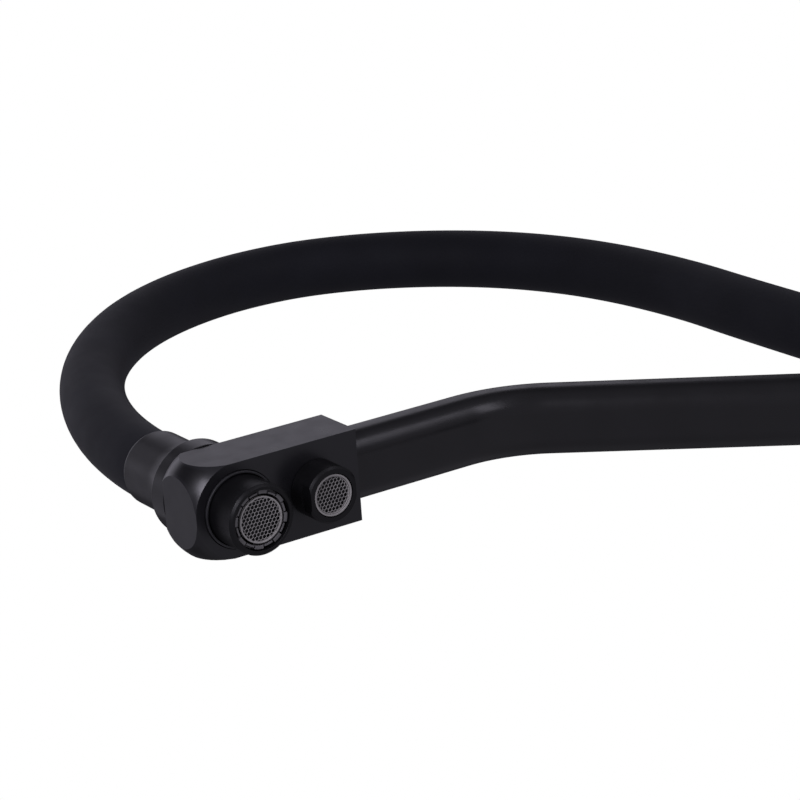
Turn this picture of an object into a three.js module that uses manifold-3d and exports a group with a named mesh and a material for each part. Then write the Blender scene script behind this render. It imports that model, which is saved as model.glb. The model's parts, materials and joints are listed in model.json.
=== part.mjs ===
// Deck-mounted pull-out rinse faucet. One arm carries a dock block with two outlets facing down: a spray
// nozzle on a thick silicone hose, which lifts out of the dock, and a smaller fixed outlet that is fed
// through the arm. Millimetres, +Z up. The origin is the column's axis at the worktop, and the arm
// points along -Y.
import * as THREE from 'three';
import { mergeVertices } from 'three/addons/utils/BufferGeometryUtils.js';
import Module from 'manifold-3d';

const wasm = await Module();
wasm.setup();

// Driving dimensions.
const REACH = 265.5; // column axis to nozzle axis
const DOCK_HEIGHT = 270; // worktop to the dock block's outlet face
const GAP = 0.3; // clearance between pieces that touch
const FINE = 20; // sides of a large round piece
const COARSE = 12; // sides of a small or hidden round piece

// Column.
const COLUMN_RADIUS = 23;
const FLANGE_RADIUS = 27;
const FLANGE_HEIGHT = 5;
const BODY_TOP = 119.7;
const BUSH_THICKNESS = 1.5;
const HEAD_BOTTOM = BODY_TOP + BUSH_THICKNESS + 2 * GAP;
const HEAD_TOP = 204;
const HEAD_BORE = 14;
const HEAD_BORE_TOP = 186;
const SPIGOT_RADIUS = 13.4;
const SPIGOT_BOTTOM = 108;
const SPIGOT_TOP = 158;
const SEAL_GROOVE_RADIUS = 11.8;
const SEAL_HEIGHTS = [128, 146];
const STOP_SCREW_HEIGHT = 137;

// Fixing under the worktop.
const SHANK_RADIUS = 16;
const SHANK_BORE = 13;
const SHANK_BOTTOM = -58;
const WORKTOP = 30;
const WASHER_RADIUS = 26;
const RUBBER_THICKNESS = 3;
const STEEL_THICKNESS = 2;
const NUT_FLATS = 46;
const NUT_HEIGHT = 12;
const JACK_SCREW_OFFSET = 19.8;
const INLET_RADIUS = 4.8;
const INLET_BORE = 3;
const INLET_OFFSET = 7.2;
const INLET_BOTTOM = -78;

// Side valves, both at one height.
const VALVE_HEIGHT = 66;
const MIXER_RADIUS = 21;
const MIXER_LENGTH = 40; // column axis to the end of the mixer's housing
const MIXER_BORE = 18;
const PIVOT = 34; // column axis to the lever's pivot
const DOME_RADIUS = 22;
const DOME_INNER = 19.5;
const DOME_OPENING = 46; // degrees from the valve's axis
const CAP_INNER = 22.6;
const CAP_OUTER = 25;
const CAP_RIM = 72; // degrees from the valve's axis
const HANDLE_LENGTH = 80;
const HANDLE_TILT = 12; // degrees outwards
const FILTER_RADIUS = 13;
const FILTER_LENGTH = 36;
const FILTER_CAP_END = 52;

// Dock block, measured from the nozzle's axis and the outlet face.
const BLOCK_WIDTH = 33;
const BLOCK_HEIGHT = 21.4;
const BLOCK_FRONT = 16.8; // nozzle axis to the flat end
const BLOCK_BACK = 46.9; // nozzle axis to the arm's end
const BARREL_EDGE_RADIUS = 16.9; // turned corners, at the outlet face
const BARREL_WIDEST_RADIUS = 21; // turned corners, where they are widest
const BARREL_WIDEST = 11.7; // height of the widest place over the outlet face
const DOCK_BORE = 13.7;
const SMALL_OUTLET_OFFSET = 29.7;

// Arm.
const ARM_WIDTH = 25;
const ARM_DEPTH = 18.4;
const ARM_CORNER = 8;
const ARM_WALL = 2.2;
const ARM_RISE = 12; // arm's centre line above the outlet face
const ARM_BEND_OFFSET = 115.5; // nozzle axis to the corner of the bend
const ARM_BEND_RADIUS = 49.5;
const ARM_DROP = 39.4; // degrees
const SOCKET_RADIUS = 16;

// Nozzle, hose and ferrules, measured from the outlet face.
const NOZZLE_RADIUS = 12.24;
const NOZZLE_DROP = 14.2;
const COLLAR_RADIUS = 17;
const COLLAR_HEIGHT = 9;
const FERRULE_HEIGHT = 26;
const FERRULE_SEAT = 14.7;
const HOSE_RADIUS = 12.4;
const HOSE_SIDES = 12;
const HOSE_STEPS = 26;
const SMALL_OUTLET_RADIUS = 9.98;
const SMALL_OUTLET_DROP = 11.1;
const SMALL_OUTLET_FLAT = 8.9;

// The hose's centre line: [distance from the nozzle's axis towards the column, height over the outlet face].
const HOSE_ROUTE = [
  [0, 46], [0, 65], [3.3, 90], [9.4, 114], [18.2, 137.8], [29.3, 160.2], [42.7, 181], [58.7, 200.1],
  [77.2, 216.8], [98.3, 230], [121.9, 239], [146.3, 242.8], [171.3, 240.7], [194.8, 231.6],
  [215.2, 217.7], [232.8, 200], [246.8, 179.5], [257.1, 156.3], [263.4, 132.2], [266.6, 107.3],
  [267.5, 82.6], [266.6, 57.9], [265.9, 32.5], [265.5, 8], [265.5, -16], [265.5, -41.4],
];

const FINISHES = {
  matte_black: { color: 0x2a2a2e, roughness: 0.5, metalness: 0.3 },
  satin_black: { color: 0x34353a, roughness: 0.35, metalness: 0.6 },
  silicone: { color: 0x1d1f26, roughness: 0.75, metalness: 0 },
  grey_plastic: { color: 0x6c6c70, roughness: 0.55, metalness: 0 },
  white_plastic: { color: 0xd8d8d4, roughness: 0.5, metalness: 0 },
  rubber: { color: 0x18181a, roughness: 0.85, metalness: 0 },
  brass: { color: 0xb08d4c, roughness: 0.35, metalness: 1 },
  steel: { color: 0xa8aaad, roughness: 0.35, metalness: 1 },
};

const faucet = new THREE.Group();

const radians = THREE.MathUtils.degToRad;

function piece(parent, name, geometry, finish) {
  const mesh = new THREE.Mesh(geometry, new THREE.MeshStandardMaterial(FINISHES[finish]));
  mesh.name = name;
  parent.add(mesh);
  return mesh;
}

// Merges shared vertices, drops faces without area and turns the faces outwards.
function closed(geometry) {
  geometry.deleteAttribute('normal');
  geometry.deleteAttribute('uv');
  const merged = mergeVertices(geometry, 1e-4);
  const index = merged.getIndex().array;
  const position = merged.getAttribute('position');
  const corners = [new THREE.Vector3(), new THREE.Vector3(), new THREE.Vector3()];
  const kept = [];
  let volume = 0;
  for (let i = 0; i < index.length; i += 3) {
    const [a, b, c] = index.slice(i, i + 3);
    if (a === b || b === c || c === a) continue;
    [a, b, c].forEach((vertex, k) => corners[k].fromBufferAttribute(position, vertex));
    volume += corners[0].dot(corners[1].clone().cross(corners[2]));
    kept.push(a, b, c);
  }
  if (volume < 0) kept.reverse();
  merged.setIndex(kept);
  return merged;
}

function solidOf(geometry) {
  const vertProperties = new Float32Array(geometry.getAttribute('position').array);
  const triVerts = new Uint32Array(geometry.getIndex().array);
  return new wasm.Manifold(new wasm.Mesh({ numProp: 3, vertProperties, triVerts }));
}

function geometryOf(solid) {
  const mesh = solid.getMesh();
  const geometry = new THREE.BufferGeometry();
  geometry.setAttribute('position', new THREE.BufferAttribute(mesh.vertProperties, 3));
  geometry.setIndex(new THREE.BufferAttribute(mesh.triVerts, 1));
  return geometry;
}

// Joins the solids of a list of geometries, then cuts away those of a second list.
function shaped(joined, cuts = []) {
  const whole = joined.map(solidOf).reduce((all, solid) => all.add(solid));
  return geometryOf(cuts.map(solidOf).reduce((rest, solid) => rest.subtract(solid), whole));
}

// An outline of [radius, height] points turned about Z. It closes on itself unless it ends on the axis.
function turned(outline, sides = FINE) {
  const points = outline.map(([radius, height]) => new THREE.Vector2(radius, height));
  if (outline[0][0] > 0) points.push(points[0].clone());
  const geometry = new THREE.LatheGeometry(points, sides);
  geometry.rotateX(Math.PI / 2);
  return closed(geometry);
}

function rod(radius, low, high, sides = FINE) {
  return turned([[0, low], [radius, low], [radius, high], [0, high]], sides);
}

function tube(outer, inner, low, high, sides = FINE) {
  return turned([[inner, low], [outer, low], [outer, high], [inner, high]], sides);
}

// A tube whose outer edge is chamfered at both ends.
function softTube(outer, inner, low, high, chamfer, sides = FINE) {
  return turned([
    [inner, low], [outer - chamfer, low], [outer, low + chamfer],
    [outer, high - chamfer], [outer - chamfer, high], [inner, high],
  ], sides);
}

function block(x, y, z) {
  const geometry = new THREE.BoxGeometry(x[1] - x[0], y[1] - y[0], z[1] - z[0]);
  geometry.translate((x[0] + x[1]) / 2, (y[0] + y[1]) / 2, (z[0] + z[1]) / 2);
  return closed(geometry);
}

// Points of an arc about [0, centre], as [radius, height], by angle from the axis in degrees.
function arc(centre, radius, from, to, steps) {
  return Array.from({ length: steps + 1 }, (_, i) => {
    const angle = radians(from + (to - from) * i / steps);
    return [radius * Math.sin(angle), centre + radius * Math.cos(angle)];
  });
}

// --- Fixing to the worktop ---------------------------------------------------------------------------

function makeFixing() {
  piece(faucet, 'base_flange', turned([
    [SHANK_RADIUS + 0.5, 0], [19.7, 0], [19.7, 1.7], [23.8, 1.7], [23.8, 0], [FLANGE_RADIUS, 0],
    [FLANGE_RADIUS, FLANGE_HEIGHT - 1], [FLANGE_RADIUS - 1, FLANGE_HEIGHT],
    [SHANK_RADIUS + 0.5, FLANGE_HEIGHT],
  ]), 'matte_black');
  piece(faucet, 'base_gasket', tube(23.5, 20, 0, 1.4), 'rubber');
  piece(faucet, 'threaded_shank', softTube(SHANK_RADIUS, SHANK_BORE, SHANK_BOTTOM, 14, 1), 'brass');

  const rubberBottom = -WORKTOP - RUBBER_THICKNESS;
  const steelTop = rubberBottom - GAP;
  const steelBottom = steelTop - STEEL_THICKNESS;
  const nutTop = steelBottom - GAP;
  piece(faucet, 'rubber_washer', tube(WASHER_RADIUS, SHANK_RADIUS + 0.6, rubberBottom, -WORKTOP), 'rubber');
  piece(faucet, 'steel_washer', tube(WASHER_RADIUS, SHANK_RADIUS + 0.6, steelBottom, steelTop), 'steel');

  const jackSides = [1, -1];
  const jackHoles = jackSides.map((side) => {
    const hole = rod(2.7, nutTop - NUT_HEIGHT - 1, nutTop + 1, COARSE);
    hole.translate(side * JACK_SCREW_OFFSET, 0, 0);
    return hole;
  });
  const hexagon = rod(NUT_FLATS / 2 / Math.cos(Math.PI / 6), nutTop - NUT_HEIGHT, nutTop, 6);
  hexagon.rotateZ(Math.PI / 6);
  const thread = rod(SHANK_RADIUS + GAP, nutTop - NUT_HEIGHT - 1, nutTop + 1);
  piece(faucet, 'mounting_nut', shaped([hexagon], [thread, ...jackHoles]), 'brass');

  jackSides.forEach((side) => {
    const bottom = nutTop - NUT_HEIGHT - 8;
    const screw = turned([
      [0, bottom], [3.4, bottom], [3.4, bottom + 4], [2.3, bottom + 4], [2.3, nutTop], [0, nutTop],
    ], COARSE);
    const name = side > 0 ? 'jack_screw_right' : 'jack_screw_left';
    piece(faucet, name, screw, 'steel').position.x = side * JACK_SCREW_OFFSET;
  });

  ['hot_inlet_tail', 'cold_inlet_tail', 'filtered_inlet_tail'].forEach((name, i) => {
    const angle = radians(90 + 120 * i);
    const endTop = SHANK_BOTTOM - 4;
    const tail = turned([
      [INLET_BORE, INLET_BOTTOM], [6, INLET_BOTTOM], [6, endTop], [INLET_RADIUS, endTop],
      [INLET_RADIUS, 10], [INLET_BORE, 10],
    ], COARSE);
    piece(faucet, name, tail, 'brass').position.set(
      INLET_OFFSET * Math.cos(angle), INLET_OFFSET * Math.sin(angle), 0);
  });
}

// --- Column: fixed body, spigot and seals ------------------------------------------------------------

function makeColumn() {
  const along = (geometry, turn) => {
    geometry.rotateY(turn);
    geometry.translate(0, 0, VALVE_HEIGHT);
    return geometry;
  };
  const column = turned([
    [0, FLANGE_HEIGHT + GAP], [COLUMN_RADIUS - 0.5, FLANGE_HEIGHT + GAP],
    [COLUMN_RADIUS, FLANGE_HEIGHT + GAP + 0.5], [COLUMN_RADIUS, BODY_TOP - 0.5],
    [COLUMN_RADIUS - 0.5, BODY_TOP], [0, BODY_TOP],
  ]);
  const mixerHousing = along(rod(MIXER_RADIUS, 5, MIXER_LENGTH), Math.PI / 2);
  const filterHousing = along(rod(FILTER_RADIUS, 5, FILTER_LENGTH), -Math.PI / 2);
  const shankBore = rod(SHANK_RADIUS + GAP, 0, 14.3);
  const lowerChamber = rod(12, 10, 46);
  const mixerBore = along(rod(MIXER_BORE, 14, MIXER_LENGTH + 1), Math.PI / 2);
  const filterBore = along(rod(9.5, 20, FILTER_LENGTH + 1, COARSE), -Math.PI / 2);
  const spigotBore = rod(SPIGOT_RADIUS + GAP, SPIGOT_BOTTOM - GAP, BODY_TOP + 1);
  const waterWay = rod(4, 40, SPIGOT_BOTTOM + 1, COARSE);
  piece(faucet, 'main_body', shaped(
    [column, mixerHousing, filterHousing],
    [shankBore, lowerChamber, mixerBore, filterBore, spigotBore, waterWay]), 'matte_black');

  const grooves = SEAL_HEIGHTS.flatMap((height) => [
    [SPIGOT_RADIUS, height], [SEAL_GROOVE_RADIUS, height],
    [SEAL_GROOVE_RADIUS, height + 3], [SPIGOT_RADIUS, height + 3],
  ]);
  const stopGroove = [
    [SPIGOT_RADIUS, 134], [SEAL_GROOVE_RADIUS, 134], [SEAL_GROOVE_RADIUS, 140], [SPIGOT_RADIUS, 140],
  ];
  piece(faucet, 'spout_spigot', turned([
    [8, SPIGOT_BOTTOM], [SPIGOT_RADIUS, SPIGOT_BOTTOM], ...grooves.slice(0, 4), ...stopGroove,
    ...grooves.slice(4), [SPIGOT_RADIUS, SPIGOT_TOP], [8, SPIGOT_TOP],
  ]), 'brass');
  SEAL_HEIGHTS.forEach((height, i) => {
    const name = i === 0 ? 'spout_seal_lower' : 'spout_seal_upper';
    piece(faucet, name, tube(13.6, 12.1, height + GAP, height + 3 - GAP), 'rubber');
  });
  piece(faucet, 'swivel_bush',
    tube(COLUMN_RADIUS - 0.6, HEAD_BORE, BODY_TOP + GAP, BODY_TOP + GAP + BUSH_THICKNESS), 'grey_plastic');
}

// --- Mixer valve on the +X side ----------------------------------------------------------------------

function makeMixer() {
  const valve = new THREE.Group();
  valve.position.z = VALVE_HEIGHT;
  valve.rotation.y = Math.PI / 2;
  faucet.add(valve);

  piece(valve, 'mixer_cartridge', turned([
    [0, 15], [17.5, 15], [17.5, 38.5], [14.3, 38.5], [14.3, 29.5], [0, 29.5],
  ]), 'white_plastic');
  piece(valve, 'cartridge_nut', tube(17.5, 11.5, 38.8, 41.5), 'brass');
  piece(valve, 'mixer_shroud', turned([
    ...arc(PIVOT, DOME_RADIUS, DOME_OPENING, 72, 2), [MIXER_RADIUS, MIXER_LENGTH + GAP],
    [18.4, MIXER_LENGTH + GAP], ...arc(PIVOT, DOME_INNER, 70, DOME_OPENING, 2),
  ]), 'matte_black');

  const pinHole = rod(1.8, -20, 20, COARSE);
  pinHole.rotateX(Math.PI / 2);
  pinHole.translate(0, 0, PIVOT);
  piece(valve, 'cartridge_carrier', shaped([tube(13.9, 7, 30, 37.5)], [pinHole]), 'white_plastic');
  const pin = rod(1.5, -13, 13, COARSE);
  pin.rotateX(Math.PI / 2);
  piece(valve, 'carrier_pin', pin, 'steel').position.z = PIVOT;
  piece(valve, 'cartridge_stem', shaped(
    [rod(3.2, 31, 53.7, COARSE)], [pinHole, rod(2.1, 46, 55, COARSE)]), 'steel');

  // The lever's cap is a ball shell round the pivot, so that it clears the dome as it tips.
  const cap = turned([...arc(PIVOT, CAP_INNER, 0, CAP_RIM, 5), ...arc(PIVOT, CAP_OUTER, CAP_RIM, 0, 5)]);
  const ball = turned(arc(PIVOT, CAP_INNER, 0, 180, 8));
  const handle = turned([
    [0, 0], [4.4, 0], [3.7, HANDLE_LENGTH + 1], [2.7, HANDLE_LENGTH + 2.5], [0, HANDLE_LENGTH + 2.5],
  ], COARSE);
  handle.rotateY(radians(HANDLE_TILT - 90));
  handle.translate(-CAP_INNER * Math.sin(radians(50)), 0, PIVOT + CAP_INNER * Math.cos(radians(50)) - 1);
  const hub = rod(5.2, PIVOT + 12, PIVOT + CAP_OUTER);
  piece(valve, 'mixer_lever', shaped([shaped([cap, handle], [ball]), hub], [
    rod(3.5, PIVOT, 54, COARSE), rod(2.2, PIVOT, PIVOT + CAP_OUTER + 1, COARSE),
    rod(4.2, 55.5, PIVOT + CAP_OUTER + 1, COARSE),
  ]), 'matte_black');
  piece(valve, 'mixer_lever_screw', turned([
    [0, 48], [1.8, 48], [1.8, 55.8], [3.6, 55.8], [3.6, 57.4], [0, 57.4],
  ], COARSE), 'steel');
  piece(valve, 'mixer_lever_plug', rod(3.9, 57.7, 59.1, COARSE), 'satin_black');
}

// --- Quarter-turn valve for the fixed outlet, on the -X side -----------------------------------------

function makeFilterValve() {
  const valve = new THREE.Group();
  valve.position.z = VALVE_HEIGHT;
  valve.rotation.y = -Math.PI / 2;
  faucet.add(valve);

  piece(valve, 'filter_headwork', turned([
    [0, 20.5], [9.1, 20.5], [9.1, 40], [3.4, 40], [3.4, 28], [0, 28],
  ], COARSE), 'brass');
  piece(valve, 'filter_spindle', turned([
    [0, 29], [3, 29], [3, 47.7], [1.6, 47.7], [1.6, 43], [0, 43],
  ], COARSE), 'brass');

  const cap = turned([
    [0, 41], [5.5, 41], [5.5, 46], [10.6, 46], [10.6, FILTER_LENGTH + GAP],
    [FILTER_RADIUS, FILTER_LENGTH + GAP], [FILTER_RADIUS, FILTER_CAP_END - 1],
    [FILTER_RADIUS - 1, FILTER_CAP_END], [0, FILTER_CAP_END],
  ]);
  const handle = turned([[0, 0], [3.4, 0], [2.9, 47], [2, 48], [0, 48]], COARSE);
  handle.rotateY(radians(90));
  handle.translate(11.4, 0, 45);
  piece(valve, 'filter_lever', shaped([cap, handle], [
    rod(3.3, 40, 48, COARSE), rod(1.7, 40, FILTER_CAP_END + 1, COARSE), rod(3.6, 49.5, FILTER_CAP_END + 1, COARSE),
  ]), 'matte_black');
  piece(valve, 'filter_lever_screw', turned([
    [0, 44], [1.3, 44], [1.3, 49.8], [3, 49.8], [3, 51], [0, 51],
  ], COARSE), 'steel');
  piece(valve, 'filter_lever_plug', rod(3.3, 51.3, 52.1, COARSE), 'satin_black');
}

// --- Arm: level from the dock, then one bend down to the column --------------------------------------

const BEND_ANGLE = radians(ARM_DROP);
const BEND_TANGENT = ARM_BEND_RADIUS * Math.tan(BEND_ANGLE / 2);
const LEVEL_RUN = ARM_BEND_OFFSET - BEND_TANGENT;
const BEND_RUN = ARM_BEND_RADIUS * BEND_ANGLE;

// Length along the arm's centre line at a distance from the nozzle's axis, outside the bend.
function runAt(distance) {
  if (distance < LEVEL_RUN) return distance;
  const slopeStart = ARM_BEND_OFFSET + BEND_TANGENT * Math.cos(BEND_ANGLE);
  return LEVEL_RUN + BEND_RUN + (distance - slopeStart) / Math.cos(BEND_ANGLE);
}

// The stretch of the arm's centre line between two distances from the nozzle's axis.
class ArmRoute extends THREE.Curve {
  constructor(from, to) {
    super();
    this.start = runAt(from);
    this.end = runAt(to);
  }

  getPoint(t) {
    const run = this.start + t * (this.end - this.start);
    const turnedBy = THREE.MathUtils.clamp((run - LEVEL_RUN) / ARM_BEND_RADIUS, 0, BEND_ANGLE);
    const slope = Math.max(0, run - LEVEL_RUN - BEND_RUN);
    const y = Math.min(run, LEVEL_RUN) + ARM_BEND_RADIUS * Math.sin(turnedBy) + slope * Math.cos(BEND_ANGLE);
    const z = ARM_RISE - ARM_BEND_RADIUS * (1 - Math.cos(turnedBy)) - slope * Math.sin(BEND_ANGLE);
    return new THREE.Vector3(0, y - REACH, z + DOCK_HEIGHT);
  }
}

function roundedRectangle(width, depth, corner, holes = []) {
  const shape = new THREE.Shape();
  const x = width / 2 - corner;
  const y = depth / 2 - corner;
  shape.absarc(x, y, corner, 0, Math.PI / 2);
  shape.absarc(-x, y, corner, Math.PI / 2, Math.PI);
  shape.absarc(-x, -y, corner, Math.PI, Math.PI * 1.5);
  shape.absarc(x, -y, corner, Math.PI * 1.5, Math.PI * 2);
  shape.holes.push(...holes);
  return shape;
}

function polygon(radius, sides) {
  const points = Array.from({ length: sides }, (_, i) => {
    const angle = 2 * Math.PI * i / sides;
    return new THREE.Vector2(radius * Math.cos(angle), radius * Math.sin(angle));
  });
  return new THREE.Shape(points);
}

function swept(shape, route, steps) {
  return closed(new THREE.ExtrudeGeometry(shape, { extrudePath: route, steps, curveSegments: 2 }));
}

// A section's first side stands upright on a route that starts level, and lies across one that starts
// on the slope.
function makeArm() {
  const innerWidth = ARM_WIDTH - 2 * ARM_WALL;
  const innerDepth = ARM_DEPTH - 2 * ARM_WALL;
  const bore = roundedRectangle(innerDepth, innerWidth, ARM_CORNER - ARM_WALL);
  const route = new ArmRoute(BLOCK_BACK + GAP, REACH - 3);
  const pipe = swept(roundedRectangle(ARM_DEPTH, ARM_WIDTH, ARM_CORNER, [bore]), route, 12);
  const columnCut = rod(SOCKET_RADIUS + GAP, 100, 260);
  piece(faucet, 'arm_tube', shaped([pipe], [columnCut]), 'matte_black');

  const hose = polygon(3.2, 8);
  hose.holes.push(polygon(2, 8));
  const inner = new ArmRoute(BLOCK_BACK - 7, REACH - SOCKET_RADIUS + 1);
  piece(faucet, 'filtered_water_tube', swept(hose, inner, 12), 'white_plastic');
}

// --- Upper column, which swivels with the arm and the hose -------------------------------------------

function ferrule() {
  const seatRadius = HOSE_RADIUS + GAP;
  const top = FERRULE_HEIGHT;
  return turned([
    [8.1, 0], [14.2, 0], [14.3, 0.4], [13.7, 4.5], [13.4, 11], [13.4, top - 1.2], [12.9, top], [seatRadius, top],
    [seatRadius, FERRULE_SEAT], [8.1, FERRULE_SEAT],
  ]);
}

function makeSwivelHead() {
  const socketRoute = new ArmRoute(REACH - 40, REACH - 3);
  const socketShape = roundedRectangle(ARM_WIDTH + 2 * GAP, ARM_DEPTH + 2 * GAP, ARM_CORNER + GAP);
  const socket = shaped([swept(socketShape, socketRoute, 1)], [rod(SOCKET_RADIUS, 100, 260)]);
  const tubeHole = swept(polygon(3.6, 8), new ArmRoute(REACH - 30, REACH - 10), 1);
  const screwHole = rod(2.6, 10, COLUMN_RADIUS + 1, COARSE);
  screwHole.rotateX(-Math.PI / 2);
  screwHole.translate(0, 0, STOP_SCREW_HEIGHT);
  const outside = softTube(COLUMN_RADIUS, 8.3, HEAD_BOTTOM, HEAD_TOP, 0.5);
  const bore = rod(HEAD_BORE, HEAD_BOTTOM - 1, HEAD_BORE_TOP);
  piece(faucet, 'swivel_head', shaped([outside], [bore, socket, tubeHole, screwHole]), 'matte_black');

  const screw = rod(2.2, 12.4, COLUMN_RADIUS - 1, COARSE);
  screw.rotateX(-Math.PI / 2);
  piece(faucet, 'spout_retaining_screw', screw, 'steel').position.z = STOP_SCREW_HEIGHT;

  const collarBottom = HEAD_TOP + GAP;
  const ferruleBottom = collarBottom + COLLAR_HEIGHT + GAP;
  const hoseEnd = DOCK_HEIGHT + HOSE_ROUTE.at(-1)[1];
  piece(faucet, 'column_collar', softTube(COLLAR_RADIUS, 8.1, collarBottom, collarBottom + COLLAR_HEIGHT, 0.5),
    'matte_black');
  piece(faucet, 'column_hose_tail', tube(7.7, 4.5, 176, hoseEnd - GAP, COARSE), 'brass');
  piece(faucet, 'column_ferrule', ferrule(), 'satin_black').position.z = ferruleBottom;
}

function makeHose() {
  const points = HOSE_ROUTE.map(([y, z]) => new THREE.Vector3(0, y - REACH, z + DOCK_HEIGHT));
  const route = new THREE.CatmullRomCurve3(points);
  piece(faucet, 'spray_hose', swept(polygon(HOSE_RADIUS, HOSE_SIDES), route, HOSE_STEPS), 'silicone');
}

// --- Dock block and the fixed outlet -----------------------------------------------------------------

function makeDock(dock) {
  const rise = BARREL_WIDEST_RADIUS - BARREL_EDGE_RADIUS;
  const bulge = (BARREL_WIDEST ** 2 + rise ** 2) / (2 * rise);
  const steps = 6;
  const barrel = Array.from({ length: steps + 1 }, (_, i) => {
    const z = BLOCK_HEIGHT * i / steps;
    return [BARREL_WIDEST_RADIUS - bulge + Math.sqrt(bulge ** 2 - (z - BARREL_WIDEST) ** 2), z];
  });
  const half = BLOCK_WIDTH / 2;
  const end = turned([[0, 0], ...barrel, [0, BLOCK_HEIGHT]], 28);
  const tail = block([-half - 9, half + 9], [0, BLOCK_BACK], [0, BLOCK_HEIGHT]);
  const limits = block([-half, half], [-BLOCK_FRONT, BLOCK_BACK], [-1, BLOCK_HEIGHT + 1]);
  const outline = solidOf(shaped([end, tail])).intersect(solidOf(limits));
  const smallBore = rod(8.2, -1, 14);
  smallBore.translate(0, SMALL_OUTLET_OFFSET, 0);
  const waterWay = rod(3.6, SMALL_OUTLET_OFFSET + 4, BLOCK_BACK + 1, COARSE);
  waterWay.rotateX(-Math.PI / 2);
  waterWay.translate(0, 0, ARM_RISE);
  piece(dock, 'dock_block', shaped([geometryOf(outline)], [
    rod(DOCK_BORE, -1, BLOCK_HEIGHT + 1), rod(15.3, 17.3, BLOCK_HEIGHT + 1), smallBore, waterWay,
  ]), 'matte_black');
  piece(dock, 'dock_bushing', tube(13.4, 12.5, -0.8, 17), 'grey_plastic');
  piece(dock, 'dock_magnet', tube(15, 12.7, 17.6, 20.2), 'steel');
  piece(dock, 'dock_magnet_cover', tube(15, 12.7, 20.5, 21.3), 'grey_plastic');
}

function makeSmallOutlet(dock) {
  const outlet = new THREE.Group();
  outlet.position.y = SMALL_OUTLET_OFFSET;
  dock.add(outlet);

  const housing = turned([
    [7.6, -SMALL_OUTLET_DROP], [9.2, -SMALL_OUTLET_DROP], [SMALL_OUTLET_RADIUS, 0.8 - SMALL_OUTLET_DROP],
    [SMALL_OUTLET_RADIUS, -GAP], [7.9, -GAP], [7.9, 8], [5.5, 8], [5.5, -6], [7.6, -6],
  ]);
  const flats = [1, -1].map((side) => {
    const near = side * SMALL_OUTLET_FLAT;
    const far = side * 12;
    return block([-12, 12], [Math.min(near, far), Math.max(near, far)], [-12, -6.6]);
  });
  piece(outlet, 'small_outlet_housing', shaped([housing], flats), 'matte_black');
  piece(outlet, 'small_outlet_seal', tube(7.9, 5.6, 8.3, 9.9, COARSE), 'rubber');
  piece(outlet, 'small_aerator_cage', tube(7.3, 6.6, -10.8, -7), 'grey_plastic');
  piece(outlet, 'small_screen', rod(6.4, -10.5, -9.4), 'grey_plastic');
  piece(outlet, 'small_flow_insert', rod(6.4, -9.1, -6.3, COARSE), 'white_plastic');
}

// --- Spray nozzle: ferrule and tail on the hose, and the swivelling nozzle ---------------------------

function makeSpray(dock) {
  const collarBottom = BLOCK_HEIGHT + GAP;
  const collarTop = collarBottom + COLLAR_HEIGHT;
  piece(dock, 'dock_ferrule', ferrule(), 'satin_black').position.z = collarTop + GAP;
  piece(dock, 'dock_hose_tail', turned([
    [4.5, 20.4], [8.6, 20.4], [8.6, 23.4], [7.7, 23.4], [7.7, 45.7], [4.5, 45.7],
  ], COARSE), 'brass');

  piece(dock, 'nozzle_collar', turned([
    [12.6, collarBottom], [12.9, collarBottom], [12.9, 23.5], [15.8, 23.5], [15.8, collarBottom],
    [COLLAR_RADIUS, collarBottom], [COLLAR_RADIUS, collarTop - 0.8], [COLLAR_RADIUS - 0.8, collarTop],
    [8.1, collarTop], [8.1, 24], [12.6, 24],
  ]), 'matte_black');
  piece(dock, 'dock_armature_ring', tube(15.4, 13.2, collarBottom + 0.1, 23.2), 'steel');
  piece(dock, 'nozzle_body', turned([
    [10.4, -NOZZLE_DROP], [NOZZLE_RADIUS - 0.8, -NOZZLE_DROP], [NOZZLE_RADIUS, 0.8 - NOZZLE_DROP],
    [NOZZLE_RADIUS, 23.7], [9, 23.7], [9, -9.2], [10.4, -9.2],
  ]), 'matte_black');
  piece(dock, 'aerator_ring', tube(10.1, 8.6, -13.2, -9.5), 'matte_black');
  piece(dock, 'aerator_screen', rod(8.3, -13.3, -12.2), 'grey_plastic');
  piece(dock, 'aerator_insert', rod(8.3, -11.9, -6, COARSE), 'white_plastic');
  piece(dock, 'aerator_seal', tube(8.7, 6.2, -5.7, -4.2, COARSE), 'rubber');
  piece(dock, 'check_valve', turned([
    [0, 4], [8.6, 4], [8.6, 8], [6.5, 8], [6.5, 15], [0, 15],
  ], COARSE), 'white_plastic');
}

makeFixing();
makeColumn();
makeMixer();
makeFilterValve();
makeSwivelHead();
makeArm();
makeHose();

const dockFrame = new THREE.Group();
dockFrame.position.set(0, -REACH, DOCK_HEIGHT);
faucet.add(dockFrame);
makeDock(dockFrame);
makeSmallOutlet(dockFrame);
makeSpray(dockFrame);

export default faucet;
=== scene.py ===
import json
import math

import bmesh
import bpy
from mathutils import Matrix, Vector


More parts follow.
